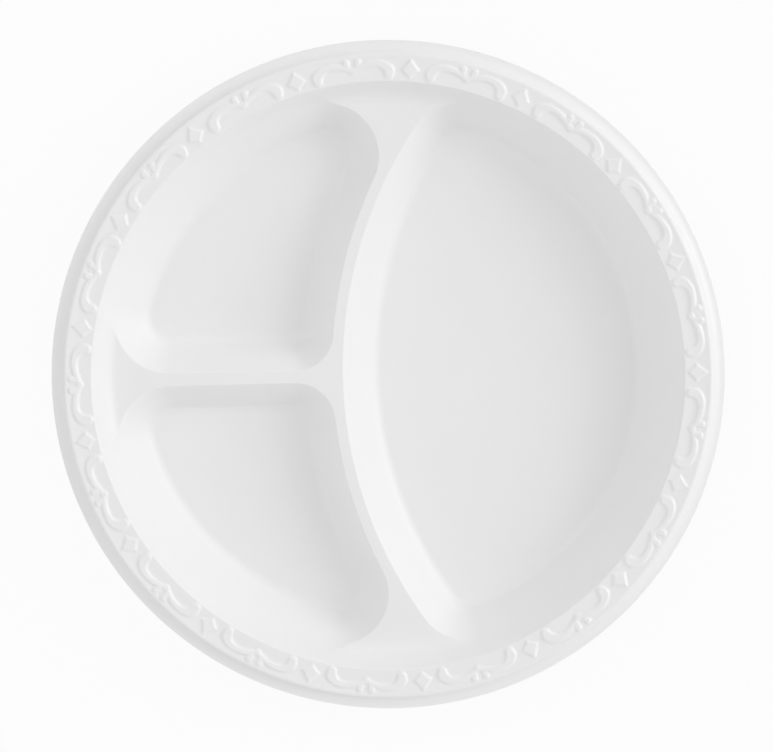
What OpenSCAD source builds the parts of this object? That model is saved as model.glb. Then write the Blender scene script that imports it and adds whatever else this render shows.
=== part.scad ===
// Divided compartment plate.
// One thin formed sheet: a lip, an ornamented rim band, a sloping collar, a T-shaped divider top and three
// compartments. Each formed zone of the sheet is a solid of its own, and neighbours meet face to face.
// Millimetres, +Z up. The origin is on the resting plane, under the middle of the rim. The large compartment
// is on the +X side, the back pocket on the +Y side and the front pocket on the -Y side.

/* [Plate] */
// Diameter over the lip
plate_d = 260; // [220:1:320]
// Height of the rim's crest above the resting plane
plate_h = 25; // [20:0.5:34]
// Thickness of the sheet
sheet_t = 0.6; // [0.4:0.05:1]

/* [Lip] */
// Width of the lip outside the crest line
lip_w = 5.8; // [5:0.1:9]
// Drop from the crest to the lip's outer edge
lip_drop = 3.1; // [2.4:0.1:4.4]
// Radius of the crest where it turns down into the lip
crest_r = 1.5; // [1.2:0.1:3]
// Steepest slope of the lip
lip_angle = 55; // [40:1:60]

/* [Rim band] */
// Width of the band between the collar and the crest line
band_w = 9.8; // [9:0.1:16]
// Height of the crest above the band's inner edge
crest_h = 0.75; // [0.3:0.05:1.5]
// Width of the band's level part next to the collar
level_w = 2.5; // [1:0.1:4]

/* [Ornament] */
// Number of repeats round the rim
repeats = 17; // [13:1:18]
// Height of the ornament above the band
relief_h = 0.6; // [0.2:0.1:0.8]
// Width of a lozenge along the rim
lozenge_w = 7.2; // [4:0.1:9]
// Length of a lozenge across the rim
lozenge_l = 7.2; // [4:0.1:7.6]
// Width of a scroll at its round end
scroll_end_w = 4.2; // [2.5:0.1:4.6]
// Width of a scroll where it meets its mirror image
scroll_tip_w = 1.3; // [0.8:0.1:2]
// Diameter of a bead
bead_d = 2.3; // [1.4:0.1:2.5]
// Distance between the two beads of a pair
bead_spacing = 4.2; // [3:0.1:6]

/* [Divider] */
// Depth of the divider's top below the band's inner edge
land_depth = 9.25; // [6:0.25:11]
// Radius of the main divider's curve on its large side
curve_r = 169; // [150:1:260]
// Distance of that curve's nearest point from the middle of the plate
curve_offset = 17.4; // [5:0.2:30]
// Width of the main divider's flat top
main_top_w = 4.4; // [3:0.1:8]
// Width of the cross divider's flat top where it joins the main divider
cross_top_w = 4.4; // [3:0.1:8]
// Angle by which each edge of the cross divider opens towards the rim
cross_taper = 0.3; // [0:0.1:2]

/* [Compartments] */
// Horizontal run of the collar, from the band's inner edge down to the top of the compartment walls
collar_run = 6.1; // [4:0.1:10]
// Horizontal run of the large compartment's outer wall
large_wall_run = 9.9; // [5:0.1:12]
// Horizontal run of the large compartment's wall along the divider
large_divider_run = 12.2; // [6:0.1:14]
// Horizontal run of the pockets' outer walls
pocket_wall_run = 11.3; // [5:0.1:13]
// Horizontal run of the pockets' walls along the dividers
pocket_divider_run = 10.8; // [5:0.1:13]
// Radius of the fillet between walls and floors
floor_fillet = 5; // [2:0.5:7]
// Radius of the large compartment's floor corners
large_floor_r = 3.5; // [1:0.5:10]
// Radius of the pocket floors' corners at the main divider's flared ends
flare_floor_r = 6.5; // [1:0.5:8]
// Radius of the pocket floors' corners at the cross divider's flared end
side_floor_r = 7.5; // [1:0.5:8]
// Radius of the pocket floors' corners where the two dividers join
junction_floor_r = 2.2; // [1:0.2:6]

/* [Hidden] */

sheet_colour = "white";
$fn = 180;

// Longest facet along a compartment's outline
facet_len = 5;
// Least number of facets round a corner, and facets up a floor fillet
corner_facets = 8;
fillet_facets = 4;
// Facets along the band's rise, round the crest and along the lip's flange
rim_facets = 6;
// Facets along a scroll's side, and round its end
scroll_facets = 12;
scroll_end_facets = 8;
// Points closer than this are one point
same_point = 0.001;
// How far cuts reach past what they cut
overrun = 1;
// Angle by which the thin tips of the divider top are cut back round their corners
tip_trim = 12;

// Places across the band, as shares of its width from the collar outwards
lozenge_wide_share = 0.45;
lozenge_tip_share = 0.885;
bead_share = 0.79;
// A scroll's centre line is a cubic curve from its round end to the mirror line between two lozenges:
// shares of half a repeat along the rim, and shares of the band's width across it
scroll_along_shares = [0.635, 0.63, 0.255, 0];
scroll_across_shares = [0.365, 0.725, 0.835, 0.44];
// How quickly a scroll narrows along its length
scroll_narrowing = 1.6;
// How much of the lip's drop below the crest's turn lies above the bend of its flange
flange_bend_share = 0.91;

// Levels: the band's inner edge, the divider's top, and the seat where walls meet divider top and collar
z_field = plate_h - crest_h;
z_top = z_field - land_depth;
z_seat = z_top - sheet_t;

// Radii: lip, crest line, band's inner edge, end of its level part, and the outer wall at the seat
r_lip = plate_d / 2;
r_crest = r_lip - lip_w;
r_band = r_crest - band_w;
r_level = r_band + level_w;
r_wall = r_band - collar_run;

// The collar's inner face, and the thickness of the sheet measured along its level edges
collar_slope = collar_run / (z_field - z_seat);
collar_level_t = sheet_t / cos(atan(collar_slope));
function collar_r(z) = r_wall + (z - z_seat) * collar_slope;

// Height of the walls above the floors, a wall's slope from its run, and how far in its fillet ends
wall_drop = z_seat - sheet_t;
function draft(run) = atan(run / wall_drop);
function floor_reach(run) = run + floor_fillet * tan((90 - draft(run)) / 2);

// Corner radii at the seat: each floor corner plus what the wall and fillet take up above it
pocket_reach = max(floor_reach(pocket_wall_run), floor_reach(pocket_divider_run));
large_corner_r = large_floor_r + max(floor_reach(large_wall_run), floor_reach(large_divider_run));
flare_corner_r = flare_floor_r + pocket_reach;
side_corner_r = side_floor_r + pocket_reach;
junction_corner_r = junction_floor_r + floor_reach(pocket_divider_run);

// The divider's curve: its centre, and its radius on the pockets' side
curve_c = [curve_r - curve_offset, 0];
curve_outer_r = curve_r + main_top_w;

function dir(angle) = [cos(angle), sin(angle)];
function heading(v) = atan2(v[1], v[0]);
function flipped(p) = [p[0], -p[1]];
function reversed(list) = [for (i = [len(list) - 1:-1:0]) list[i]];
function unit(v) = v / norm(v);

// Where a circle about the plate's middle meets a circle about the divider curve's centre, on the +Y side
function circles_meet(r_plate, r_curve) =
    let (x = (r_plate * r_plate - r_curve * r_curve + curve_c[0] * curve_c[0]) / (2 * curve_c[0]))
    [x, sqrt(r_plate * r_plate - x * x)];

// The cross divider's +Y edge: where it starts, the way it runs, and its normal into the back pocket
cross_start = [-curve_offset - main_top_w, cross_top_w / 2];
cross_dir = [-cos(cross_taper), sin(cross_taper)];
cross_normal = [sin(cross_taper), cos(cross_taper)];
cross_heading = 270 - cross_taper;

// The point beside the cross edge, at a distance from it, that lies on a circle
function beside_cross(distance, centre, radius) =
    let (start = cross_start + distance * cross_normal, q = start - centre, along = q * cross_dir)
    start + cross_dir * (sqrt(along * along - q * q + radius * radius) - along);

// Centres of the compartments' corners
large_corner = circles_meet(r_wall - large_corner_r, curve_r - large_corner_r);
flare_corner = circles_meet(r_wall - flare_corner_r, curve_outer_r + flare_corner_r);
side_corner = beside_cross(side_corner_r, [0, 0], r_wall - side_corner_r);
junction_corner = beside_cross(junction_corner_r, curve_c, curve_outer_r + junction_corner_r);

// An outline is a chain of arcs: centre, radius, first and last angle, 1 where the compartment lies on the
// centre's side or -1 on the far side, and the wall's run at both ends. With a trim, the corners next to the
// rim stop short by that angle and the outer arc joins their ends.
function large_arcs(r_out, trim) =
    let (rim = heading(large_corner) + trim,
         curve = heading(large_corner - curve_c),
         tip = heading(large_corner + large_corner_r * dir(rim)))
    [[[0, 0], r_out, -tip, tip, 1, large_wall_run, large_wall_run],
     [large_corner, large_corner_r, rim, curve, 1, large_wall_run, large_divider_run],
     [curve_c, curve_r, curve, 360 - curve, 1, large_divider_run, large_divider_run],
     [flipped(large_corner), large_corner_r, 360 - curve, 360 - rim, 1, large_divider_run, large_wall_run]];

function pocket_arcs(r_out, trim) =
    let (flare_rim = heading(flare_corner) - trim,
         side_rim = heading(side_corner) + trim,
         flare_curve = heading(curve_c - flare_corner),
         junction_curve = heading(curve_c - junction_corner),
         flare_tip = heading(flare_corner + flare_corner_r * dir(flare_rim)),
         side_tip = heading(side_corner + side_corner_r * dir(side_rim)))
    [[[0, 0], r_out, flare_tip, side_tip, 1, pocket_wall_run, pocket_wall_run],
     [side_corner, side_corner_r, side_rim, cross_heading, 1, pocket_wall_run, pocket_divider_run],
     [junction_corner, junction_corner_r, cross_heading, 360 + junction_curve, 1,
      pocket_divider_run, pocket_divider_run],
     [curve_c, curve_outer_r, 180 + junction_curve, 180 + flare_curve, -1,
      pocket_divider_run, pocket_divider_run],
     [flare_corner, flare_corner_r, flare_curve, flare_rim, 1, pocket_divider_run, pocket_wall_run]];

// Steps along an arc, and the arc's points as [point, inward normal, wall run]
function arc_steps(arc) =
    max(corner_facets, ceil(abs(arc[3] - arc[2]) * PI / 180 * arc[1] / facet_len));
function arc_points(arc) =
    let (steps = arc_steps(arc))
    [for (i = [0:steps])
        let (share = i / steps, way = dir(arc[2] + (arc[3] - arc[2]) * share))
        [arc[0] + arc[1] * way, -arc[4] * way, arc[5] + (arc[6] - arc[5]) * share]];

// The whole outline, with the points that two arcs share kept once
function outline(arcs) =
    let (all = [for (arc = arcs) each arc_points(arc)], count = len(all))
    [for (i = [0:count - 1])
        if (norm(all[i][0] - all[(i + 1) % count][0]) > same_point) all[i]];
function inset(rim, distances) = [for (i = [0:len(rim) - 1]) rim[i][0] + rim[i][1] * distances[i]];

// A wall's section as [inset, height]: down the inner face and its fillet, then back up the underside
function fillet_points(run, radius) =
    [for (i = [0:fillet_facets])
        let (angle = (90 - draft(run)) * (1 - i / fillet_facets))
        [floor_reach(run) - radius * sin(angle), sheet_t + floor_fillet - radius * cos(angle)]];
function wall_section(run) =
    concat([[0, z_seat]],
           fillet_points(run, floor_fillet),
           reversed(fillet_points(run, floor_fillet + sheet_t)),
           [[-sheet_t / cos(draft(run)), z_seat]]);

// A compartment's wall, swept round its outline, and its floor inside the fillet
module compartment_wall(rim) {
    sections = [for (p = rim) wall_section(p[2])];
    count = len(rim);
    size = len(sections[0]);
    polyhedron(
        points = [for (i = [0:count - 1]) for (s = sections[i])
            let (p = rim[i][0] + rim[i][1] * s[0]) [p[0], p[1], s[1]]],
        faces = [for (i = [0:count - 1]) for (k = [0:size - 1])
            let (next = (i + 1) % count, up = (k + 1) % size,
                 a = i * size + k, b = next * size + k, c = next * size + up, d = i * size + up)
            each [[a, c, b], [a, d, c]]]);
}

module compartment_floor(rim) {
    linear_extrude(sheet_t) polygon(inset(rim, [for (p = rim) floor_reach(p[2])]));
}

// The underside of a bent sheet's section, whose upper side runs outwards
function rise_normal(a, b) = let (way = unit(b - a)) [-way[1], way[0]];
function underside(upper) =
    let (last = len(upper) - 1)
    [for (i = [0:last])
        let (before = rise_normal(upper[max(i - 1, 0)], upper[max(i, 1)]),
             after = rise_normal(upper[min(i, last - 1)], upper[min(i + 1, last)]))
        upper[i] - sheet_t * (before + after) / (1 + before * after)];

// Upper side of the band: level next to the collar, then rising in a shallow curve to the crest
band_upper =
    [[r_band, z_field],
     for (i = [0:rim_facets])
        let (share = i / rim_facets)
        [r_level + (r_crest - r_level) * share, z_field + crest_h * share * share]];

// Upper side of the lip: the crest turns down to the steepest slope, then a flange levels out to the edge
crest_end = [r_crest + crest_r * sin(lip_angle), plate_h - crest_r * (1 - cos(lip_angle))];
lip_edge = [r_lip, plate_h - lip_drop];
flange_drop = (crest_end[1] - lip_edge[1]) * flange_bend_share;
flange_bend = crest_end + flange_drop * [1 / tan(lip_angle), -1];
lip_upper =
    [for (i = [1:rim_facets])
        let (angle = lip_angle * i / rim_facets)
        [r_crest + crest_r * sin(angle), plate_h - crest_r * (1 - cos(angle))],
     for (i = [1:rim_facets])
        let (s = i / rim_facets)
        (1 - s) * (1 - s) * crest_end + 2 * s * (1 - s) * flange_bend + s * s * lip_edge];

// Both sides of the whole rim, and where the crest lies among its points
rim_upper = concat(band_upper, lip_upper);
rim_lower = underside(rim_upper);
crest_place = len(band_upper) - 1;
function stretch(list, first, last) = [for (i = [first:last]) list[i]];

// The down-turned lip outside the crest line
module rim_lip() {
    last = len(rim_upper) - 1;
    upper = stretch(rim_upper, crest_place, last);
    lower = stretch(rim_lower, crest_place, last);
    color(sheet_colour) rotate_extrude() polygon(concat(upper, reversed(lower)));
}

// The band between the collar and the crest line
module rim_band() {
    foot = [collar_r(z_field - sheet_t), z_field - sheet_t];
    color(sheet_colour) rotate_extrude()
        polygon(concat([foot], band_upper, reversed(stretch(rim_lower, 1, crest_place))));
}

// The middle of the band, the length of half a repeat there, and a point of the band
r_mid = r_band + band_w / 2;
half_repeat = PI * r_mid / repeats;
function on_band(along, across) = (r_band + across) * dir(along / r_mid * 180 / PI);

// Copies of a motif's outline round the rim, from the first one's angle, raised above the band
module raised_motifs(first) {
    color(sheet_colour) intersection() {
        for (i = [0:repeats - 1])
            rotate(first + i * 360 / repeats) translate([0, 0, z_field - overrun])
                linear_extrude(crest_h + relief_h + 2 * overrun) children();
        rotate_extrude()
            polygon(concat(band_upper, reversed([for (p = band_upper) p + [0, relief_h]])));
    }
}

// Kite-shaped lozenges, the first on the +X axis
module rim_lozenges() {
    tip = band_w * lozenge_tip_share;
    wide = band_w * lozenge_wide_share;
    raised_motifs(0)
        polygon([on_band(0, tip), on_band(-lozenge_w / 2, wide), on_band(0, tip - lozenge_l),
                 on_band(lozenge_w / 2, wide)]);
}

// A scroll's centre line, direction and half width at a share of its length from the round end
function cubic(c, s) =
    c[0] * pow(1 - s, 3) + 3 * c[1] * s * pow(1 - s, 2) + 3 * c[2] * s * s * (1 - s) + c[3] * pow(s, 3);
function cubic_slope(c, s) =
    (c[1] - c[0]) * pow(1 - s, 2) + 2 * (c[2] - c[1]) * s * (1 - s) + (c[3] - c[2]) * s * s;
scroll_along = half_repeat * scroll_along_shares;
scroll_across = band_w * scroll_across_shares;
function scroll_middle(s) = [cubic(scroll_along, s), cubic(scroll_across, s)];
function scroll_way(s) = unit([cubic_slope(scroll_along, s), cubic_slope(scroll_across, s)]);
function scroll_half_w(s) = (scroll_tip_w + (scroll_end_w - scroll_tip_w) * pow(1 - s, scroll_narrowing)) / 2;

// One side of a scroll, 1 for its outer side and -1 for its inner side, as far as the mirror line
function scroll_side(side) =
    [for (i = [0:scroll_facets])
        let (s = i / scroll_facets, way = scroll_way(s),
             normal = i < scroll_facets ? [way[1], -way[0]] : [0, 1])
        scroll_middle(s) + side * scroll_half_w(s) * normal];
function scroll_end() =
    [for (i = [1:scroll_end_facets - 1])
        let (way = scroll_way(0), turn = 180 * i / scroll_end_facets)
        scroll_middle(0) + scroll_half_w(0) * (cos(turn) * [way[1], -way[0]] - sin(turn) * way)];

// Pairs of mirrored scrolls, joined halfway between the lozenges
module rim_scrolls() {
    half = concat(reversed(scroll_side(1)), scroll_end(), scroll_side(-1));
    other = [for (i = [len(half) - 2:-1:1]) [-half[i][0], half[i][1]]];
    raised_motifs(180 / repeats) polygon([for (p = concat(half, other)) on_band(p[0], p[1])]);
}

// Pairs of beads above the places where scrolls join
module rim_beads() {
    across = band_w * bead_share;
    raised_motifs(180 / repeats)
        for (side = [-1, 1]) translate(on_band(side * bead_spacing / 2, across)) circle(d = bead_d);
}

// The sloping collar between the band and the compartments
module rim_collar() {
    z_end = z_field - sheet_t;
    color(sheet_colour) rotate_extrude()
        polygon([[r_wall, z_seat], [r_wall + collar_level_t, z_seat],
                 [collar_r(z_end) + collar_level_t, z_end], [collar_r(z_end), z_end]]);
}

// A compartment's outline cut right through the divider top, out past the collar's face
module compartment_cut(arcs) {
    translate([0, 0, z_seat - overrun]) linear_extrude(sheet_t + 2 * overrun)
        polygon([for (p = outline(arcs)) p[0]]);
}

// The T-shaped flat top of the two dividers, with flared ends at the collar
module divider_top() {
    r_cut = collar_r(z_top) + overrun;
    color(sheet_colour) difference() {
        rotate_extrude() polygon([[0, z_seat], [r_wall, z_seat], [collar_r(z_top), z_top], [0, z_top]]);
        compartment_cut(large_arcs(r_cut, tip_trim));
        compartment_cut(pocket_arcs(r_cut, tip_trim));
        mirror([0, 1, 0]) compartment_cut(pocket_arcs(r_cut, tip_trim));
    }
}

large_rim = outline(large_arcs(r_wall, 0));
pocket_rim = outline(pocket_arcs(r_wall, 0));

module large_compartment_wall() {
    color(sheet_colour) compartment_wall(large_rim);
}

module large_compartment_floor() {
    color(sheet_colour) compartment_floor(large_rim);
}

module back_pocket_wall() {
    color(sheet_colour) compartment_wall(pocket_rim);
}

module back_pocket_floor() {
    color(sheet_colour) compartment_floor(pocket_rim);
}

module front_pocket_wall() {
    color(sheet_colour) mirror([0, 1, 0]) compartment_wall(pocket_rim);
}

module front_pocket_floor() {
    color(sheet_colour) mirror([0, 1, 0]) compartment_floor(pocket_rim);
}

rim_lip();
rim_band();
rim_lozenges();
rim_scrolls();
rim_beads();
rim_collar();
divider_top();
large_compartment_wall();
large_compartment_floor();
back_pocket_wall();
back_pocket_floor();
front_pocket_wall();
front_pocket_floor();
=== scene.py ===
"""Looks of a round divided compartment plate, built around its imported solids.

The plate is one thin formed sheet. Its upper side is written once, as a height above the resting plane, and
each zone of the sheet (lip, band, collar, divider top, compartment walls and floors) is cut from that surface
as a closed shell of its own. Lengths are in millimetres until a mesh is made, and angles are in degrees.
"""

from __future__ import annotations

import logging
import math
from dataclasses import dataclass
from enum import Enum
from typing import NamedTuple, Protocol

import bpy
import numpy as np
from mathutils import Matrix, Vector
from mathutils.geometry import delaunay_2d_cdt

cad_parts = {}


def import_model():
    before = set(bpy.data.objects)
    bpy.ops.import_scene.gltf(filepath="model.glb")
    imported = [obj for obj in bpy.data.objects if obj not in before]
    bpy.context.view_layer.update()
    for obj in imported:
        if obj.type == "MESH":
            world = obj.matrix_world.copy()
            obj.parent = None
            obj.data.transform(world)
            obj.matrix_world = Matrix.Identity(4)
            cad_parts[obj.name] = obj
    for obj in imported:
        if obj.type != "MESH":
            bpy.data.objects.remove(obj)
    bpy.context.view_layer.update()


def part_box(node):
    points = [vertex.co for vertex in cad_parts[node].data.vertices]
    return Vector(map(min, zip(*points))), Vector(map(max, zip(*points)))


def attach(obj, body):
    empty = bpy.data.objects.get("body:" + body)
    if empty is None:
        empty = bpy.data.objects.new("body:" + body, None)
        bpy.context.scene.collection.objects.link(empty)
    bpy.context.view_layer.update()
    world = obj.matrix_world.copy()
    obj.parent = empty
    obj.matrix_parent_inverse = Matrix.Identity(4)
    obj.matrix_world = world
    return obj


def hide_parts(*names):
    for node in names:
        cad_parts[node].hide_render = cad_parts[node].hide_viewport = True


LOG = logging.getLogger("divided_plate")
MM = 0.001
TINY = 1e-6
FAR = 1e3
LEAST_LENGTH = 1e-12
INNER_TRIANGLES = 1
BODY = "root"

Array = np.ndarray


class Side(Enum):
    """Side of the cross divider that a compartment lies on, as the sign of its Y."""

    BACK = 1
    FRONT = -1


class Point(NamedTuple):
    """A place in plan."""

    x: float
    y: float


def toward(angle: Array | float) -> Array:
    """Unit vectors at angles in plan."""
    turn = np.radians(angle)
    return np.stack((np.cos(turn), np.sin(turn)), axis=-1)


def round_angles(count: int) -> Array:
    """Evenly spaced angles once round the plate."""
    return np.linspace(0.0, 360.0, count, endpoint=False)


def heading(vector: Array) -> float:
    """The angle at which a vector points in plan."""
    return math.degrees(math.atan2(vector[1], vector[0]))


def lengths(vectors: Array) -> Array:
    """Lengths of vectors in plan."""
    return np.hypot(vectors[:, 0], vectors[:, 1])


def soft_min(first: Array, second: Array, blend: float) -> Array:
    """The lower of two heights, rounded where they come closer than the blend."""
    near = np.maximum(blend - np.abs(first - second), 0.0) / blend
    return np.minimum(first, second) - near * near * blend / 4.0


def soft_max(first: Array, second: Array, blend: float) -> Array:
    """The higher of two heights, filled where they come closer than the blend."""
    return -soft_min(-first, -second, blend)


@dataclass(frozen=True)
class PlateSizes:
    """Sizes that the zones of the sheet share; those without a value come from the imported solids."""

    lip_r: float
    crest_r: float
    crest_z: float
    land_z: float
    sheet_t: float
    floor_fillet: float = 5.0
    edge_blend: float = 0.4

    @classmethod
    def from_frame(cls) -> PlateSizes:
        """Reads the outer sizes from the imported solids.

        Returns:
            The sizes in millimetres.
        """
        lip_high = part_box("rim_lip")[1]
        band_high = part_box("rim_band")[1]
        land_low, land_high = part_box("divider_top")
        return cls(
            lip_r=lip_high.x / MM,
            crest_r=band_high.x / MM,
            crest_z=band_high.z / MM,
            land_z=land_high.z / MM,
            sheet_t=(land_high.z - land_low.z) / MM,
        )

    @property
    def wall_drop(self) -> float:
        """Height of the divider's top above the floors."""
        return self.land_z - self.sheet_t


@dataclass(frozen=True)
class RimSection:
    """Section of the rim: collar, band, crest and lip, as heights over the radius."""

    sizes: PlateSizes
    band_w: float = 9.8
    level_w: float = 2.5
    collar_run: float = 5.7
    crest_round: float = 1.5
    crest_turn: float = 11.6
    lip_angle: float = 55.0
    lip_drop: float = 3.1
    bend_share: float = 0.91
    foot_blend: float = 4.7
    shoulder_blend: float = 0.46

    @property
    def band_r(self) -> float:
        """Radius of the edge between collar and band."""
        return self.sizes.crest_r - self.band_w

    @property
    def land_r(self) -> float:
        """Radius of the collar's foot at the divider's level."""
        return self.band_r - self.collar_run

    @property
    def level_r(self) -> float:
        """Radius at which the band starts to rise."""
        return self.band_r + self.level_w

    @property
    def rise_r(self) -> float:
        """Radius at which the band's rise turns into the crest."""
        return self.sizes.crest_r - self.crest_round * math.sin(math.radians(self.crest_turn))

    @property
    def band_z(self) -> float:
        """Height of the band's level part.

        Returns:
            The height above the resting plane.
        """
        turn = math.radians(self.crest_turn)
        rise = math.tan(turn) * (self.rise_r - self.level_r) / 2.0
        return self.sizes.crest_z - self.crest_round * (1.0 - math.cos(turn)) - rise

    def band_height(self, radius: Array) -> Array:
        """Heights of the band and the crest.

        Args:
            radius: Distances from the plate's middle.

        Returns:
            Heights above the resting plane, without the ornament.
        """
        climb = np.clip(radius - self.level_r, 0.0, None)
        slope = math.tan(math.radians(self.crest_turn)) / (self.rise_r - self.level_r)
        rise = self.band_z + slope * climb * climb / 2.0
        across = np.clip(radius - self.sizes.crest_r, -self.crest_round, self.crest_round)
        crest = self.sizes.crest_z - self.crest_round + np.sqrt(self.crest_round**2 - across * across)
        return np.where(radius < self.rise_r, rise, crest)

    def height(self, radius: Array) -> Array:
        """Heights of the land, collar, band and crest, with round edges between them.

        Args:
            radius: Distances from the plate's middle.

        Returns:
            Heights above the resting plane, without the ornament.
        """
        slope = (self.band_z - self.sizes.land_z) / self.collar_run
        collar = self.sizes.land_z + (radius - self.land_r) * slope
        foot = soft_max(np.full_like(radius, self.sizes.land_z), collar, self.foot_blend)
        return soft_min(foot, self.band_height(radius), self.shoulder_blend)

    def lip_upper(self, crest_steps: int, flange_steps: int) -> Array:
        """Upper side of the lip, from the crest line to the edge.

        Args:
            crest_steps: Steps round the crest.
            flange_steps: Steps along the flange.

        Returns:
            Rows of radius, height, and the normal's two parts.
        """
        angle = np.radians(np.linspace(0.0, self.lip_angle, crest_steps + 1))
        crest = np.column_stack((
            self.sizes.crest_r + self.crest_round * np.sin(angle),
            self.sizes.crest_z - self.crest_round * (1.0 - np.cos(angle)),
            np.sin(angle),
            np.cos(angle),
        ))
        start = crest[-1, :2]
        edge = np.array((self.sizes.lip_r, self.sizes.crest_z - self.lip_drop))
        drop = (start[1] - edge[1]) * self.bend_share
        bend = start + drop * np.array((1.0 / math.tan(math.radians(self.lip_angle)), -1.0))
        share = np.linspace(0.0, 1.0, flange_steps + 1)[1:, None]
        place = (1 - share) ** 2 * start + 2 * share * (1 - share) * bend + share**2 * edge
        way = (1 - share) * (bend - start) + share * (edge - bend)
        normal = np.column_stack((-way[:, 1], way[:, 0])) / np.linalg.norm(way, axis=1)[:, None]
        return np.vstack((crest, np.column_stack((place, normal))))


class ScrollPoint(NamedTuple):
    """A place on a scroll's centre line: along the rim from the join, across the band, and its width."""

    along: float
    across: float
    width: float


@dataclass(frozen=True)
class Ornament:
    """Embossed border of the band: lozenges, and between them mirrored scrolls with a boss and petals.

    Places along the rim are measured on the circle of measure_r, and places across it from that of inner_r.
    """

    rim: RimSection
    repeats: int = 17
    relief_h: float = 0.74
    bevel_w: float = 1.4
    measure_r: float = 119.5
    inner_r: float = 114.6
    lozenge_inner: float = 1.3
    lozenge_wide: float = 4.2
    lozenge_outer: float = 8.5
    lozenge_half_w: float = 3.45
    lozenge_blend: float = 0.5
    scroll: tuple[ScrollPoint, ...] = (
        ScrollPoint(14.0, 2.3, 3.4),
        ScrollPoint(13.9, 3.9, 4.0),
        ScrollPoint(12.6, 5.4, 3.4),
        ScrollPoint(10.5, 6.4, 2.7),
        ScrollPoint(8.0, 6.6, 2.3),
        ScrollPoint(5.5, 6.3, 2.2),
        ScrollPoint(3.5, 5.7, 2.0),
        ScrollPoint(1.5, 4.9, 1.8),
        ScrollPoint(0.0, 4.3, 1.6),
    )
    scroll_steps: int = 8
    boss_across: float = 4.4
    boss_r: float = 1.3
    petal_foot: Point = Point(1.95, 6.2)
    petal_tip: Point = Point(2.2, 7.6)
    petal_r: float = 1.2
    web_across: float = 6.6
    web_r: float = 1.2
    web_share: float = 0.35
    motif_blend: float = 0.6

    def fold(self, plan: Array) -> tuple[Array, Array, Array]:
        """Brings places on the rim into one half of a repeat.

        Args:
            plan: Places in plan.

        Returns:
            Distances along the rim from the nearest lozenge and the nearest join of scrolls, and across it.
        """
        turns = np.arctan2(plan[:, 1], plan[:, 0]) / (2.0 * math.pi) * self.repeats
        repeat = 2.0 * math.pi * self.measure_r / self.repeats
        from_lozenge = np.abs(turns - np.round(turns)) * repeat
        return from_lozenge, repeat / 2.0 - from_lozenge, lengths(plan) - self.inner_r

    def lozenge_gap(self, along: Array, across: Array) -> Array:
        """Distances outside a lozenge's outline, negative inside it.

        Args:
            along: Distances along the rim from the lozenge's middle.
            across: Distances across the band.

        Returns:
            Signed distances.
        """
        gaps = []
        for tip in (self.lozenge_inner, self.lozenge_outer):
            length = tip - self.lozenge_wide
            slant = math.hypot(length, self.lozenge_half_w)
            outward = math.copysign(1.0, length)
            gaps.append((along * abs(length) + outward * (across - tip) * self.lozenge_half_w) / slant)
        return soft_max(gaps[0], gaps[1], self.lozenge_blend)

    def scroll_line(self) -> Array:
        """A smooth line through the scroll's points.

        Returns:
            Rows of along, across and half width.
        """
        knots = np.array(self.scroll)
        knots[:, 2] /= 2.0
        before = np.vstack((2 * knots[0] - knots[1], knots[:-1]))
        after = np.vstack((knots[1:], knots[-1] * np.array((-1.0, 1.0, 1.0))))
        tangent = (after - before) / 2.0
        rows = []
        for i in range(len(knots) - 1):
            for s in np.linspace(0.0, 1.0, self.scroll_steps, endpoint=False):
                rows.append(
                    (2 * s**3 - 3 * s**2 + 1) * knots[i]
                    + (s**3 - 2 * s**2 + s) * tangent[i]
                    + (3 * s**2 - 2 * s**3) * knots[i + 1]
                    + (s**3 - s**2) * tangent[i + 1]
                )
        return np.vstack((rows, knots[-1:]))

    def raised(self, gap: Array) -> Array:
        """Share of the relief's height at a distance outside a motif's outline."""
        s = np.clip(0.5 - gap / self.bevel_w, 0.0, 1.0)
        return s * s * (3.0 - 2.0 * s)

    def relief(self, plan: Array) -> Array:
        """Heights of the ornament above the plain band.

        Args:
            plan: Places in plan.

        Returns:
            Heights, zero off the motifs.
        """
        from_lozenge, along, across = self.fold(plan)
        gap = np.full_like(along, np.inf)
        for middle in self.scroll_line():
            gap = np.minimum(gap, np.hypot(along - middle[0], across - middle[1]) - middle[2])
        boss = np.hypot(along, across - self.boss_across) - self.boss_r
        gap = soft_min(gap, boss, self.motif_blend)
        foot, tip = np.array(self.petal_foot), np.array(self.petal_tip)
        way = tip - foot
        share = ((along - foot[0]) * way[0] + (across - foot[1]) * way[1]) / (way @ way)
        share = np.clip(share, 0.0, 1.0)
        petal = np.hypot(along - foot[0] - share * way[0], across - foot[1] - share * way[1]) - self.petal_r
        gap = soft_min(gap, petal, self.motif_blend)
        web = self.web_share * self.raised(np.hypot(along, across - self.web_across) - self.web_r)
        motifs = np.maximum(self.raised(gap), self.raised(self.lozenge_gap(from_lozenge, across)))
        return self.relief_h * np.maximum(motifs, web)


class Stretch(Protocol):
    """One stretch of a compartment's outline."""

    def places(self, spacing: float) -> tuple[Array, Array]:
        """Points along the stretch without its last one, and normals into the compartment."""

    def depth(self, plan: Array) -> tuple[Array, Array, Array]:
        """How far places lie inside, the wall's run there, and whether they lie beside the stretch."""


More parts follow.
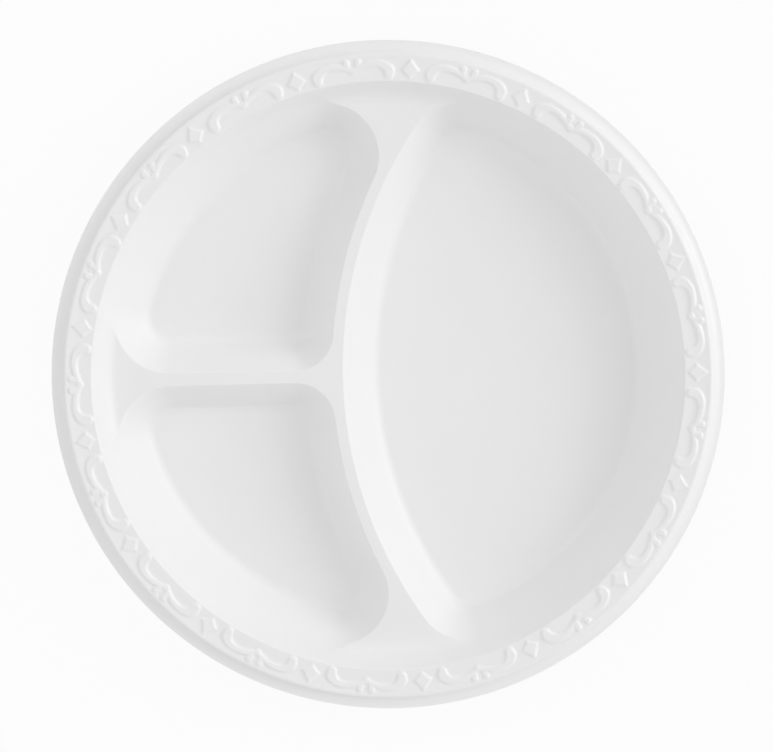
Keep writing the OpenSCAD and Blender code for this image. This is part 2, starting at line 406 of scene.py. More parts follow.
@dataclass(frozen=True)
class Arc:
    """A round stretch, with the wall's run at its two ends.

    The angles run from first to last as the outline goes. The compartment lies on the centre's side, or on
    the far side where hollow is true.
    """

    centre: Array
    radius: float
    first: float
    last: float
    run_first: float
    run_last: float
    hollow: bool = False
    least_steps: int = 36

    def places(self, spacing: float) -> tuple[Array, Array]:
        """Points along the arc without its last one, and normals into the compartment.

        Args:
            spacing: Longest distance between points.

        Returns:
            Rows of points and rows of normals.
        """
        length = math.radians(abs(self.last - self.first)) * self.radius
        steps = max(self.least_steps, math.ceil(length / spacing))
        way = toward(np.linspace(self.first, self.last, steps, endpoint=False))
        return self.centre + self.radius * way, way if self.hollow else -way

    def depth(self, plan: Array) -> tuple[Array, Array, Array]:
        """How far places lie inside the compartment, measured from this arc.

        Args:
            plan: Places in plan.

        Returns:
            Depths, the wall's run beside each place, and whether the place lies beside the arc.
        """
        away = plan - self.centre
        sweep = self.last - self.first
        turned = np.degrees(np.arctan2(away[:, 1], away[:, 0])) - self.first
        turned = turned * math.copysign(1.0, sweep)
        slack = (360.0 - abs(sweep)) / 2.0
        turned = (turned + slack) % 360.0 - slack
        share = turned / abs(sweep)
        inside = self.radius - lengths(away)
        run = self.run_first + (self.run_last - self.run_first) * np.clip(share, 0.0, 1.0)
        tolerance = 1e-7
        return -inside if self.hollow else inside, run, (share > -tolerance) & (share < 1.0 + tolerance)


@dataclass(frozen=True)
class Edge:
    """A straight stretch, with the compartment on its left."""

    start: Array
    end: Array
    run: float

    def places(self, spacing: float) -> tuple[Array, Array]:
        """Points along the edge without its last one, and normals into the compartment.

        Args:
            spacing: Longest distance between points.

        Returns:
            Rows of points and rows of normals.
        """
        way = self.end - self.start
        steps = math.ceil(np.linalg.norm(way) / spacing)
        share = np.linspace(0.0, 1.0, steps, endpoint=False)[:, None]
        normal = np.array((-way[1], way[0])) / np.linalg.norm(way)
        return self.start + share * way, np.repeat(normal[None, :], steps, axis=0)

    def depth(self, plan: Array) -> tuple[Array, Array, Array]:
        """How far places lie inside the compartment, measured from this edge.

        Args:
            plan: Places in plan.

        Returns:
            Depths, the wall's run, and whether the place lies beside the edge.
        """
        way = self.end - self.start
        length = np.linalg.norm(way)
        away = plan - self.start
        share = away @ way / length**2
        inside = (way[0] * away[:, 1] - way[1] * away[:, 0]) / length
        return inside, np.full_like(inside, self.run), (share >= 0.0) & (share <= 1.0)


@dataclass(frozen=True)
class DividerCurve:
    """The main divider's curve, and the cross divider's edge on the back pocket's side."""

    radius: float = 169.0
    offset: float = 17.4
    main_top_w: float = 4.4
    cross_top_w: float = 4.4
    cross_taper: float = 0.3

    @property
    def centre(self) -> Array:
        """Centre of the main divider's curve."""
        return np.array((self.radius - self.offset, 0.0))

    @property
    def pocket_radius(self) -> float:
        """Radius of the main divider's edge on the pockets' side."""
        return self.radius + self.main_top_w

    @property
    def cross_start(self) -> Array:
        """Where the cross divider's edge would meet the main divider."""
        return np.array((-self.offset - self.main_top_w, self.cross_top_w / 2.0))

    @property
    def cross_way(self) -> Array:
        """Direction of the cross divider's edge, out towards the rim."""
        return toward(180.0 - self.cross_taper)

    @property
    def cross_normal(self) -> Array:
        """Normal of the cross divider's edge, into the back pocket."""
        return toward(90.0 - self.cross_taper)

    def meet(self, plate_radius: float, curve_radius: float) -> Array:
        """Where a circle about the plate's middle meets one about the curve's centre, on the +Y side.

        Args:
            plate_radius: Radius about the plate's middle.
            curve_radius: Radius about the curve's centre.

        Returns:
            The point in plan.
        """
        base = self.centre[0]
        x = (plate_radius**2 - curve_radius**2 + base**2) / (2.0 * base)
        return np.array((x, math.sqrt(plate_radius**2 - x**2)))

    def beside_cross(self, distance: float, centre: Array, radius: float) -> Array:
        """The point at a distance from the cross divider's edge that lies on a circle.

        Args:
            distance: Distance from the edge.
            centre: The circle's centre.
            radius: The circle's radius.

        Returns:
            The point in plan.
        """
        start = self.cross_start + distance * self.cross_normal
        away = start - centre
        along = away @ self.cross_way
        return start + self.cross_way * (math.sqrt(along**2 - away @ away + radius**2) - along)


@dataclass(frozen=True)
class Compartment:
    """What all compartments share: an outline at the divider's level, and walls down to a floor."""

    sizes: PlateSizes
    rim: RimSection
    curve: DividerCurve
    name: str = "compartment"
    side: Side = Side.BACK
    spacing: float = 1.4
    top_rows: tuple[float, ...] = (0.0, 0.1, 0.22, 0.36, 0.52, 0.72, 1.0)
    wall_steps: int = 5
    fillet_steps: int = 12
    floor_spacing: float = 7.0
    floor_clear: float = 7.0 / 3.0
    upward_bend: float = 0.1

    def stretches(self) -> list[Stretch]:
        """The outline's stretches on the +Y side, the outer arc first, anticlockwise."""
        raise NotImplementedError

    @property
    def flip(self) -> Array:
        """What mirrors places on the +Y side to the compartment's own side, and back."""
        return np.array((1.0, self.side.value))

    def reach(self, run: Array | float) -> Array | float:
        """How far in from the outline a wall's fillet ends on the floor."""
        return run + self.sizes.floor_fillet * np.tan(np.arctan(self.sizes.wall_drop / run) / 2.0)

    def depth(self, plan: Array) -> tuple[Array, Array]:
        """How far places lie inside the outline, and the run of the nearest wall.

        Args:
            plan: Places in plan.

        Returns:
            Depths, negative outside, and runs.
        """
        depth, run = np.full(len(plan), -np.inf), np.ones(len(plan))
        for stretch in self.stretches():
            inside, its_run, beside = stretch.depth(plan * self.flip)
            nearer = beside & (np.abs(inside) < np.abs(depth))
            depth, run = np.where(nearer, inside, depth), np.where(nearer, its_run, run)
        return depth, run

    def height(self, plan: Array) -> Array:
        """Heights of the walls and the floor, with the walls carried on upwards outside the outline.

        Args:
            plan: Places in plan.

        Returns:
            Heights above the resting plane.
        """
        depth, run = self.depth(plan)
        fillet = self.sizes.floor_fillet
        outside = np.clip(depth, -FAR, 0.0)
        wall = self.sizes.land_z - np.maximum(depth, -FAR) * self.sizes.wall_drop / run
        wall += self.upward_bend * outside * outside
        short = np.clip(self.reach(run) - depth, 0.0, fillet)
        foot = self.sizes.sheet_t + fillet - np.sqrt(fillet**2 - short**2)
        tangent = fillet * np.sin(np.arctan(self.sizes.wall_drop / run))
        return np.where(short < tangent, foot, wall)

    def outline(self) -> tuple[Array, Array, Array]:
        """Points along the outline, anticlockwise.

        Returns:
            Points, normals into the compartment, and whether each lies on the outer arc.
        """
        parts = [stretch.places(self.spacing) for stretch in self.stretches()]
        order = slice(None, None, self.side.value)
        points, normals = (np.vstack(rows)[order] * self.flip for rows in zip(*parts))
        outer = np.arange(len(points)) < len(parts[0][0])
        return points, normals, outer[order]

    def edge_runs(self, points: Array, normals: Array) -> Array:
        """The wall's run beside each point of the outline."""
        return self.depth(points + normals * TINY)[1]

    def wall_zone(self) -> tuple[Array, Array]:
        """Rings of points from the outline down to the floor.

        Returns:
            Places in plan, and faces.
        """
        points, normals, _ = self.outline()
        run = self.edge_runs(points, normals)
        end = self.reach(run)
        tangent = end - self.sizes.floor_fillet * np.sin(np.arctan(self.sizes.wall_drop / run))
        rows = [np.full_like(run, inset) for inset in self.top_rows]
        start = self.top_rows[-1]
        rows += [start + (tangent - start) * i / self.wall_steps for i in range(1, self.wall_steps + 1)]
        rows += [tangent + (end - tangent) * i / self.fillet_steps for i in range(1, self.fillet_steps + 1)]
        rings = [points + normals * row[:, None] for row in rows]
        return np.vstack(rings), ring_faces(len(rings), len(points))

    def floor_zone(self) -> tuple[Array, Array]:
        """The level floor inside the walls' fillets.

        Returns:
            Places in plan, and faces.
        """
        points, normals, _ = self.outline()
        loop = points + normals * self.reach(self.edge_runs(points, normals))[:, None]
        grid = spread_points(loop.min(axis=0), loop.max(axis=0), self.floor_spacing)
        depth, run = self.depth(grid)
        return filled(loop, grid[depth > self.reach(run) + self.floor_clear])


@dataclass(frozen=True)
class LargeCompartment(Compartment):
    """The large compartment, between the main divider and the rim."""

    name: str = "large_compartment"
    outer_run: float = 10.3
    divider_run: float = 12.2
    floor_corner_r: float = 3.5

    def stretches(self) -> list[Stretch]:
        """The outer arc, a corner, the main divider and the other corner.

        Returns:
            The stretches in that order.
        """
        radius = self.floor_corner_r + self.reach(self.divider_run)
        corner = self.curve.meet(self.rim.land_r - radius, self.curve.radius - radius)
        other = corner * np.array((1.0, -1.0))
        rim, turn = heading(corner), heading(corner - self.curve.centre)
        outer, inner = self.outer_run, self.divider_run
        return [
            Arc(np.zeros(2), self.rim.land_r, -rim, rim, outer, outer),
            Arc(corner, radius, rim, turn, outer, inner),
            Arc(self.curve.centre, self.curve.radius, turn, 360.0 - turn, inner, inner),
            Arc(other, radius, 360.0 - turn, 360.0 - rim, inner, outer),
        ]


@dataclass(frozen=True)
class Pocket(Compartment):
    """A small compartment, between the two dividers and the rim."""

    outer_run: float = 11.7
    divider_run: float = 10.8
    flare_floor_r: float = 7.0
    side_floor_r: float = 7.7
    junction_floor_r: float = 2.2

    def stretches(self) -> list[Stretch]:
        """The outer arc, then round by the cross divider, the dividers' join and the main divider.

        Returns:
            The stretches in that order.
        """
        curve, outer, inner = self.curve, self.outer_run, self.divider_run
        flare_r, side_r, junction_r = (
            floor_r + self.reach(inner)
            for floor_r in (self.flare_floor_r, self.side_floor_r, self.junction_floor_r)
        )
        flare = curve.meet(self.rim.land_r - flare_r, curve.pocket_radius + flare_r)
        side = curve.beside_cross(side_r, np.zeros(2), self.rim.land_r - side_r)
        junction = curve.beside_cross(junction_r, curve.centre, curve.pocket_radius + junction_r)
        flare_turn = heading(curve.centre - flare)
        junction_turn = heading(curve.centre - junction)
        cross = heading(-curve.cross_normal) + 360.0
        main = (180.0 + junction_turn, 180.0 + flare_turn)
        return [
            Arc(np.zeros(2), self.rim.land_r, heading(flare), heading(side), outer, outer),
            Arc(side, side_r, heading(side), cross, outer, inner),
            Edge(side - side_r * curve.cross_normal, junction - junction_r * curve.cross_normal, inner),
            Arc(junction, junction_r, cross, 360.0 + junction_turn, inner, inner),
            Arc(curve.centre, curve.pocket_radius, *main, inner, inner, hollow=True),
            Arc(flare, flare_r, flare_turn, heading(flare), inner, outer),
        ]


def ring_faces(rings: int, count: int) -> Array:
    """Quads between rings of points, each ring closed.

    Args:
        rings: Number of rings.
        count: Points in a ring.

    Returns:
        Rows of four places.
    """
    ring, place = np.meshgrid(np.arange(rings - 1), np.arange(count), indexing="ij")
    following = (place + 1) % count
    corners = (ring * count + place, ring * count + following)
    above = (corners[1] + count, corners[0] + count)
    return np.stack((*corners, *above), axis=-1).reshape(-1, 4)


def spread_points(low: Array, high: Array, spacing: float) -> Array:
    """A triangular lattice of points in a box.

    Args:
        low: The box's lowest corner.
        high: The box's highest corner.
        spacing: Distance between points.

    Returns:
        Rows of points.
    """
    rows = []
    for i, y in enumerate(np.arange(low[1], high[1], spacing * math.sin(math.pi / 3.0))):
        x = np.arange(low[0] + spacing / 2.0 * (i % 2), high[0], spacing)
        rows.append(np.column_stack((x, np.full_like(x, y))))
    return np.vstack(rows)


def filled(loop: Array, inside: Array) -> tuple[Array, Array]:
    """Triangles that fill a closed loop and use the points inside it.

    Args:
        loop: Points round the loop.
        inside: Points inside it.

    Returns:
        Places in plan, and faces that are anticlockwise from above.
    """
    places = [Vector(p) for p in np.vstack((loop, inside))]
    found = delaunay_2d_cdt(places, [], [list(range(len(loop)))], INNER_TRIANGLES, TINY)
    points = np.array([tuple(p) for p in found[0]])
    faces = np.array(found[2])
    one, two, three = (points[faces[:, k]] for k in range(3))
    first, second = two - one, three - one
    turn = first[:, 0] * second[:, 1] - first[:, 1] * second[:, 0]
    return points, np.where((turn < 0.0)[:, None], faces[:, ::-1], faces)


def face_list(*groups: Array) -> list[tuple[int, ...]]:
    """The faces of some groups, one after another."""
    return [tuple(face) for group in groups for face in group.tolist()]


@dataclass(frozen=True)
class SheetSurface:
    """Upper side of the whole sheet, as heights above the resting plane."""

    sizes: PlateSizes
    rim: RimSection
    ornament: Ornament
    compartments: tuple[Compartment, ...]
    probe: float = 0.01

    def height(self, plan: Array, embossed: bool) -> Array:
        """Heights of the sheet's upper side.

        Args:
            plan: Places in plan.
            embossed: Whether the ornament is raised.

        Returns:
            Heights above the resting plane.
        """
        height = self.rim.height(lengths(plan))
        for compartment in self.compartments:
            height = soft_min(height, compartment.height(plan), self.sizes.edge_blend)
        return height + self.ornament.relief(plan) if embossed else height

    def normals(self, plan: Array, embossed: bool) -> Array:
        """Unit normals of the sheet's upper side.

        Args:
            plan: Places in plan.
            embossed: Whether the ornament is raised.

        Returns:
            Rows of normals.
        """
        slopes = []
        for step in self.probe * np.eye(2):
            rise = self.height(plan + step, embossed) - self.height(plan - step, embossed)
            slopes.append(rise / (2.0 * self.probe))
        normals = np.column_stack((-slopes[0], -slopes[1], np.ones(len(plan))))
        return normals / np.linalg.norm(normals, axis=1)[:, None]


def grey(level: float) -> tuple[float, float, float, float]:
    """An opaque grey."""
    return (level, level, level, 1.0)


def new_object(name: str, data: bpy.types.ID) -> bpy.types.Object:
    """Adds an object to the scene.

    Args:
        name: The object's name.
        data: Its mesh, lamp or camera.

    Returns:
        The object.
    """
    added = bpy.data.objects.new(name, data)
    bpy.context.scene.collection.objects.link(added)
    return added


def add_node(tree: bpy.types.NodeTree, kind: str, **values: float | tuple[float, ...]) -> bpy.types.Node:
    """Adds a shader node to a tree.

    Args:
        tree: The node tree.
        kind: The node's type, without the word that all shader nodes share.
        values: Values of the node's inputs.

    Returns:
        The node.
    """
    node = tree.nodes.new(f"ShaderNode{kind}")
    for name, value in values.items():
        node.inputs[name].default_value = value
    return node


@dataclass(frozen=True)
class SheetFinish:
    """White moulded sheet: satin, with faint clouding and a fine grain, whose depth is in metres."""

    name: str = "white_sheet"
    pale: float = 0.9
    dark: float = 0.885
    roughness_low: float = 0.4
    roughness_high: float = 0.5
    cloud_scale: float = 45.0
    cloud_detail: float = 3.0
    grain_scale: float = 1500.0
    grain_detail: float = 2.0
    grain_strength: float = 0.06
    grain_depth: float = 0.00005

    def material(self) -> bpy.types.Material:
        """Builds the node material.

        Returns:
            The material.
        """
        material = bpy.data.materials.new(self.name)
        material.use_nodes = True
        tree = material.node_tree
        link = tree.links.new
        shader = tree.nodes["Principled BSDF"]
        place = add_node(tree, "TexCoord").outputs["Object"]
        cloud = add_node(tree, "TexNoise", Scale=self.cloud_scale, Detail=self.cloud_detail)
        link(place, cloud.inputs["Vector"])
        tint = add_node(tree, "ValToRGB")
        for stop, level in zip(tint.color_ramp.elements, (self.dark, self.pale)):
            stop.color = grey(level)
        link(cloud.outputs["Fac"], tint.inputs["Fac"])
        link(tint.outputs["Color"], shader.inputs["Base Color"])
        polish = add_node(tree, "MapRange")
        polish.inputs["To Min"].default_value = self.roughness_low
        polish.inputs["To Max"].default_value = self.roughness_high
        link(cloud.outputs["Fac"], polish.inputs["Value"])
        link(polish.outputs["Result"], shader.inputs["Roughness"])
        grain = add_node(tree, "TexNoise", Scale=self.grain_scale, Detail=self.grain_detail)
        link(place, grain.inputs["Vector"])
        bump = add_node(tree, "Bump", Strength=self.grain_strength, Distance=self.grain_depth)
        link(grain.outputs["Fac"], bump.inputs["Height"])
        link(bump.outputs["Normal"], shader.inputs["Normal"])
        return material


def seen_rays(tree: bpy.types.NodeTree) -> bpy.types.NodeSocket:
    """Finds the rays that show a background: from the camera, or through gloss or glass.

    Args:
        tree: The node tree to add to.

    Returns:
        A socket that is one for these rays and nought for others.
    """
    path = add_node(tree, "LightPath")
    seen = path.outputs["Is Camera Ray"]
    for kind in ("Is Glossy Ray", "Is Transmission Ray"):
        either = add_node(tree, "Math")
        either.operation = "MAXIMUM"
        tree.links.new(seen, either.inputs[0])
        tree.links.new(path.outputs[kind], either.inputs[1])
        seen = either.outputs["Value"]
    return seen


@dataclass(frozen=True)
class FloorFinish:
    """Plain pale floor that shows white to the camera and keeps a shadow."""

    name: str = "pale_floor"
    level: float = 0.7
    white_share: float = 0.94

    def material(self) -> bpy.types.Material:
        """Builds the node material.

        Returns:
            The material.
        """
        material = bpy.data.materials.new(self.name)
        material.use_nodes = True
        tree = material.node_tree
        link = tree.links.new
        tree.nodes.remove(tree.nodes["Principled BSDF"])
        paint = add_node(tree, "BsdfDiffuse", Color=grey(self.level))
        white = add_node(tree, "Emission", Strength=1.0)
        share = add_node(tree, "Math")
        share.operation = "MULTIPLY"
        share.inputs[1].default_value = self.white_share
        link(seen_rays(tree), share.inputs[0])
        mix = add_node(tree, "MixShader")
        link(share.outputs["Value"], mix.inputs["Fac"])
        link(paint.outputs["BSDF"], mix.inputs[1])
        link(white.outputs["Emission"], mix.inputs[2])
        link(mix.outputs["Shader"], tree.nodes["Material Output"].inputs["Surface"])
        return material


@dataclass(frozen=True)
class Shell:
    """A closed piece of sheet: points, faces, and a normal at each corner of each face."""

    points: Array
    faces: list[tuple[int, ...]]
    corner_normals: Array

    @classmethod
    def from_zone(cls, surface: SheetSurface, zone: tuple[Array, Array], embossed: bool = False) -> Shell:
        """Cuts a zone out of the sheet, with its underside and its cut sides.

        Args:
            surface: The sheet's upper side.
            zone: Places in plan, and faces that are anticlockwise from above.
            embossed: Whether the ornament is raised in this zone.

        Returns:
            The closed shell.
        """
        plan, faces = zone
        upper = np.column_stack((plan, surface.height(plan, embossed)))
        smooth = surface.normals(plan, False)
        normals = surface.normals(plan, True) if embossed else smooth
        points = np.vstack((upper, upper - surface.sizes.sheet_t * smooth))
        count = len(plan)
        starts, ends = faces.ravel(), np.roll(faces, -1, axis=1).ravel()
        single = ~np.isin(starts * count + ends, ends * count + starts)
        a, b = starts[single], ends[single]
        sides = np.column_stack((b, a, a + count, b + count))
        one, two, three = (points[sides[:, k]] for k in range(3))
        flat = np.cross(two - one, three - two)
        flat /= np.maximum(np.linalg.norm(flat, axis=1), LEAST_LENGTH)[:, None]
        below = faces[:, ::-1]
        corner_normals = np.vstack((
            normals[faces.ravel()], -normals[below.ravel()], np.repeat(flat, 4, axis=0)
        ))
        return cls(points, face_list(faces, below + count, sides), corner_normals)

    @classmethod
    def revolved(cls, section: Array, columns: int) -> Shell:
        """Turns a closed section round the plate's axis; its last point joins the first by a flat cut.

        Args:
            section: Rows of radius, height, and the normal's two parts, clockwise.
            columns: Number of steps round the plate.

        Returns:
            The closed shell.
        """
        outward = np.column_stack((toward(round_angles(columns)), np.zeros(columns)))
        up = np.array((0.0, 0.0, 1.0))
        points, normals = (
            (half[:, :1, None] * outward + half[:, 1:, None] * up).reshape(-1, 3)
            for half in (section[:, :2], section[:, 2:])
        )
        faces = ring_faces(len(section), columns)[:, ::-1]
        last = (len(section) - 1) * columns
        place = np.arange(columns)
        following = (place + 1) % columns
        cut = np.column_stack((place, following, following + last, place + last))
        corner_normals = np.vstack((normals[faces.ravel()], -outward[(cut % columns).ravel()]))
        return cls(points, face_list(faces, cut), corner_normals)

    def piece(self, name: str, finish: bpy.types.Material, nodes: tuple[str, ...]) -> None:
        """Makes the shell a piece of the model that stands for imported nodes.

        Args:
            name: The piece's name.
            finish: Its material.
            nodes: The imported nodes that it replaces.
        """
        mesh = bpy.data.meshes.new(name)
        mesh.from_pydata((self.points * MM).tolist(), [], self.faces)
        mesh.polygons.foreach_set("use_smooth", np.ones(len(mesh.polygons), dtype=bool))
        mesh.update()
        mesh.normals_split_custom_set(self.corner_normals.tolist())
        mesh.materials.append(finish)
        piece = new_object(name, mesh)
        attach(piece, BODY)
        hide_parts(*nodes)
        LOG.info("%s: %d points, %d faces, for %s", name, len(self.points), len(self.faces), ", ".join(nodes))


@dataclass(frozen=True)
class Rim:
    """The rim: the lip, the embossed band and the collar."""

    surface: SheetSurface
    finish: bpy.types.Material
    half_repeat_columns: int = 50
    band_rows: int = 27
    plain_columns: int = 510
    crest_steps: int = 10
    flange_steps: int = 12
    edge_steps: int = 8
    collar_rows: int = 20

    def build(self) -> None:
        """Builds the three pieces from the edge inwards."""
        self.build_lip()
        self.build_band()
        self.build_collar()

    def build_lip(self) -> None:
        """Builds the down-turned lip with its rounded trimmed edge."""
        sheet_t = self.surface.sizes.sheet_t
        upper = self.surface.rim.lip_upper(self.crest_steps, self.flange_steps)
        upper[:, 0] -= sheet_t / 2.0 * (upper[:, 0] - upper[0, 0]) / (upper[-1, 0] - upper[0, 0])
        lower = upper.copy()
        lower[:, :2] -= sheet_t * upper[:, 2:]
        lower[:, 2:] *= -1.0
        middle = (upper[-1, :2] + lower[-1, :2]) / 2.0
        normal = upper[-1, 2:]
        outward = np.array((normal[1], -normal[0]))
        angle = np.radians(np.linspace(0.0, 180.0, self.edge_steps + 1)[1:-1])[:, None]
        way = np.cos(angle) * normal + np.sin(angle) * outward
        edge = np.column_stack((middle + sheet_t / 2.0 * way, way))
        section = np.vstack((upper, edge, lower[::-1]))
        Shell.revolved(section, self.plain_columns).piece("lip_sheet", self.finish, ("rim_lip",))

    def polar_zone(self, radii: Array, columns: int) -> tuple[Array, Array]:
        """A ring-shaped zone round the plate's middle.

        Args:
            radii: Radii of its rows, inner ones first.
            columns: Number of columns.

        Returns:
            Places in plan, and faces.
        """
        plan = radii[:, None, None] * toward(round_angles(columns))
        return plan.reshape(-1, 2), ring_faces(len(radii), columns)[:, ::-1]

    def build_band(self) -> None:
        """Builds the band with its embossed border."""
        rim, ornament = self.surface.rim, self.surface.ornament
        radii = np.linspace(rim.band_r, self.surface.sizes.crest_r, self.band_rows + 1)
        zone = self.polar_zone(radii, 2 * ornament.repeats * self.half_repeat_columns)
        nodes = ("rim_band", "rim_lozenges", "rim_scrolls", "rim_beads")
        Shell.from_zone(self.surface, zone, embossed=True).piece("band_sheet", self.finish, nodes)

    def build_collar(self) -> None:
        """Builds the sloping collar between the divider's level and the band."""
        rim = self.surface.rim
        radii = np.linspace(rim.land_r, rim.band_r, self.collar_rows + 1)
        zone = self.polar_zone(radii, self.plain_columns)
        Shell.from_zone(self.surface, zone).piece("collar_sheet", self.finish, ("rim_collar",))


@dataclass(frozen=True)
class DividerTop:
    """The T-shaped flat top of the two dividers, with flared ends at the collar."""

    surface: SheetSurface
    finish: bpy.types.Material
    tip_gap: float = 0.01
    rim_spacing: float = 1.4
    row_insets: tuple[float, ...] = (0.18, 0.36, 0.56, 0.8, 1.15, 1.6)
    row_slack: float = 0.98
    grid_spacing: float = 2.6
    grid_clear: float = 1.4

    def boundary(self) -> Array:
        """The T's outline: the compartments' edges, joined by arcs along the collar's foot.

        Returns:
            Points round it.
        """
        land_r = self.surface.rim.land_r
        chains = []
        for compartment in self.surface.compartments:
            points, _, outer = compartment.outline()
            clear = ~outer & (lengths(points) < land_r - self.tip_gap)
            first = int(np.flatnonzero(clear & ~np.roll(clear, 1))[0])
            chains.append(np.roll(points, -first, axis=0)[: int(clear.sum())])
        chains.sort(key=lambda chain: heading(chain[-1]) % 360.0)
        loop = []
        for chain, following in zip(chains, chains[1:] + chains[:1]):
            start, end = heading(chain[0]), heading(following[-1])
            sweep = (end - start) % 360.0
            steps = math.ceil(math.radians(sweep) * land_r / self.rim_spacing)
            loop += [chain[::-1], land_r * toward(start + sweep * np.linspace(0.0, 1.0, steps + 1))]
        return np.vstack(loop)

    def inner_points(self) -> Array:
        """Points inside the T: rows along its edges, and a lattice on its flat.

        Returns:
            Rows of points.
        """
        land_r = self.surface.rim.land_r
        rows = []
        for inset in self.row_insets:
            circle = land_r - inset
            angles = np.linspace(0.0, 360.0, int(2.0 * math.pi * circle / self.rim_spacing))
            along = [circle * toward(angles)]
            for compartment in self.surface.compartments:
                points, normals, _ = compartment.outline()
                along.append(points - normals * inset)
            rows.append(self.kept(np.vstack(along), inset * self.row_slack))
        span = np.full(2, land_r)
        lattice = spread_points(-span, span, self.grid_spacing)
        rows.append(self.kept(lattice, self.row_insets[-1] * self.grid_clear))
        return np.vstack(rows)

    def kept(self, points: Array, margin: float) -> Array:
        """Keeps those of some points that lie on the T.

        Args:
            points: Points in plan.
            margin: Least distance from the T's edges.

        Returns:
            The points kept.
        """
        space = self.surface.rim.land_r - lengths(points)
        for compartment in self.surface.compartments:
            space = np.minimum(space, -compartment.depth(points)[0])
        return points[space >= margin]

    def build(self) -> None:
        """Builds the T as one piece of sheet."""
        zone = filled(self.boundary(), self.inner_points())
        Shell.from_zone(self.surface, zone).piece("divider_top_sheet", self.finish, ("divider_top",))


@dataclass(frozen=True)
class CompartmentSheets:
    """The wall and the floor of one compartment."""

    surface: SheetSurface
    compartment: Compartment
    finish: bpy.types.Material

    def build(self) -> None:
        """Builds the wall with its fillet, and the floor inside it."""
        name = self.compartment.name
        zones = {"wall": self.compartment.wall_zone(), "floor": self.compartment.floor_zone()}
        for part, zone in zones.items():
            shell = Shell.from_zone(self.surface, zone)
            shell.piece(f"{name}_{part}_sheet", self.finish, (f"{name}_{part}",))


@dataclass(frozen=True)
class Softbox:
    """A soft square lamp that shines at the plate."""

    name: str
    azimuth: float
    elevation: float
    distance: float
    size: float
    power: float

    def build(self) -> None:
        """Places the lamp and turns it to the plate."""
        lamp = bpy.data.lights.new(self.name, "AREA")
        lamp.shape = "SQUARE"
        lamp.size = self.size
        lamp.energy = self.power
        holder = new_object(self.name, lamp)
        flat = math.cos(math.radians(self.elevation))
        way = Vector((*(flat * toward(self.azimuth)), math.sin(math.radians(self.elevation))))
        holder.location = way * self.distance
        holder.rotation_euler = way.to_track_quat("Z", "Y").to_euler()


class SkyStop(NamedTuple):
    """The sky's grey at a height, from 0 at the horizon to 1 overhead."""

    height: float
    level: float


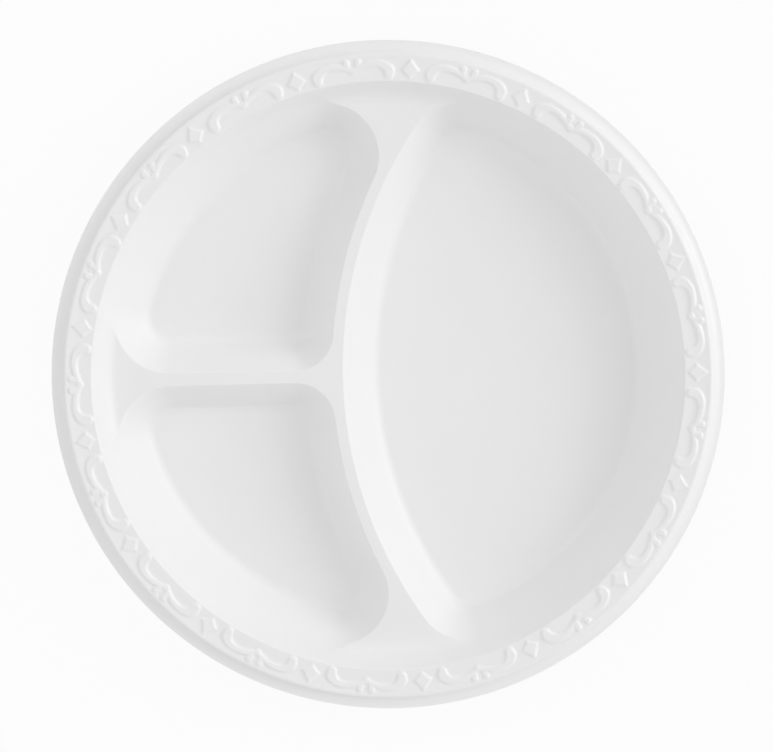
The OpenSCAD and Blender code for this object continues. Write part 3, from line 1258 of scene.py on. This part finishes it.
@dataclass(frozen=True)
class Studio:
    """Floor, light and camera, placed as the photograph was taken.

    The camera's tilts are those of its line of sight from straight down, and its focal length is in pixels of
    the photograph. The floor's and the lamps' sizes and distances are in metres.
    """

    floor_half: float = 6.0
    floor_drop: float = 0.00005
    sky: tuple[SkyStop, ...] = (
        SkyStop(0.0, 0.823),
        SkyStop(0.25, 0.902),
        SkyStop(0.5, 0.411),
        SkyStop(1.0, 0.735),
    )
    lamps: tuple[Softbox, ...] = (
        Softbox("key_low", 12.0, 24.0, 3.0, 1.0, 17.45),
        Softbox("key_high", 12.0, 38.0, 3.0, 1.0, 10.9),
        Softbox("key_side", 44.0, 24.0, 3.0, 1.0, 3.1),
        Softbox("fill_back", 135.0, 45.0, 3.0, 1.6, 8.3),
        Softbox("fill_front", 225.0, 45.0, 3.0, 1.6, 4.0),
        Softbox("fill_near", 270.0, 18.0, 3.0, 1.6, 4.1),
    )
    aim: tuple[float, float, float] = (-0.6, 0.42, 20.0)
    distance: float = 1478.38
    tilt_x: float = 0.694
    tilt_y: float = 6.943
    roll: float = -1.238
    focal_px: float = 3824.6
    frame_px: float = 773.0
    sensor_w: float = 36.0

    def build(self) -> None:
        """Builds the floor, the light and the camera."""
        self.build_floor()
        self.build_light()
        self.build_camera()

    def build_floor(self) -> None:
        """Lays a plain pale floor under the plate."""
        half = self.floor_half
        corners = ((-half, -half), (half, -half), (half, half), (-half, half))
        mesh = bpy.data.meshes.new("studio_floor")
        mesh.from_pydata([(x, y, -self.floor_drop) for x, y in corners], [], [(0, 1, 2, 3)])
        mesh.materials.append(FloorFinish().material())
        new_object("studio_floor", mesh)

    def build_light(self) -> None:
        """Sets a soft light from all round, and the lamps."""
        world = bpy.data.worlds.new("studio_world")
        world.use_nodes = True
        tree = world.node_tree
        link = tree.links.new
        sky = tree.nodes["Background"]
        sky.inputs["Strength"].default_value = 1.0
        split = add_node(tree, "SeparateXYZ")
        link(add_node(tree, "TexCoord").outputs["Generated"], split.inputs["Vector"])
        fade = add_node(tree, "ValToRGB")
        for stop in self.sky[1:-1]:
            fade.color_ramp.elements.new(stop.height)
        for mark, stop in zip(fade.color_ramp.elements, self.sky):
            mark.color = grey(stop.level)
        link(split.outputs["Z"], fade.inputs["Fac"])
        link(fade.outputs["Color"], sky.inputs["Color"])
        white = add_node(tree, "Background", Color=grey(1.0), Strength=1.0)
        mix = add_node(tree, "MixShader")
        link(seen_rays(tree), mix.inputs["Fac"])
        link(sky.outputs["Background"], mix.inputs[1])
        link(white.outputs["Background"], mix.inputs[2])
        link(mix.outputs["Shader"], tree.nodes["World Output"].inputs["Surface"])
        bpy.context.scene.world = world
        for lamp in self.lamps:
            lamp.build()

    def build_camera(self) -> None:
        """Places the camera at the photograph's viewing angle."""
        lean = (math.tan(math.radians(tilt)) for tilt in (self.tilt_x, self.tilt_y))
        back = Vector((*lean, 1.0)).normalized()
        right = (-back).cross(Vector((0.0, 1.0, 0.0))).normalized()
        up = right.cross(-back)
        cos, sin = math.cos(math.radians(self.roll)), math.sin(math.radians(self.roll))
        axes = Matrix((cos * right + sin * up, cos * up - sin * right, back)).transposed()
        data = bpy.data.cameras.new("photo_camera")
        data.sensor_fit = "HORIZONTAL"
        data.sensor_width = self.sensor_w
        data.lens = self.focal_px * self.sensor_w / self.frame_px
        camera = new_object("photo_camera", data)
        place = Vector(self.aim) * MM + back * self.distance * MM
        camera.matrix_world = Matrix.Translation(place) @ axes.to_4x4()
        bpy.context.scene.camera = camera


def main() -> None:
    """Builds the plate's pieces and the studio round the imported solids."""
    logging.basicConfig(level=logging.INFO, format="%(name)s: %(message)s")
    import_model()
    bpy.context.scene.view_settings.view_transform = "Standard"

    sizes = PlateSizes.from_frame()
    rim, curve = RimSection(sizes), DividerCurve()
    compartments = (
        LargeCompartment(sizes, rim, curve),
        Pocket(sizes, rim, curve, "back_pocket", Side.BACK),
        Pocket(sizes, rim, curve, "front_pocket", Side.FRONT),
    )
    surface = SheetSurface(sizes, rim, Ornament(rim), compartments)
    finish = SheetFinish().material()
    Rim(surface, finish).build()
    DividerTop(surface, finish).build()
    for compartment in compartments:
        CompartmentSheets(surface, compartment, finish).build()
    Studio().build()

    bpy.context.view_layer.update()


if __name__ == "__main__":
    main()
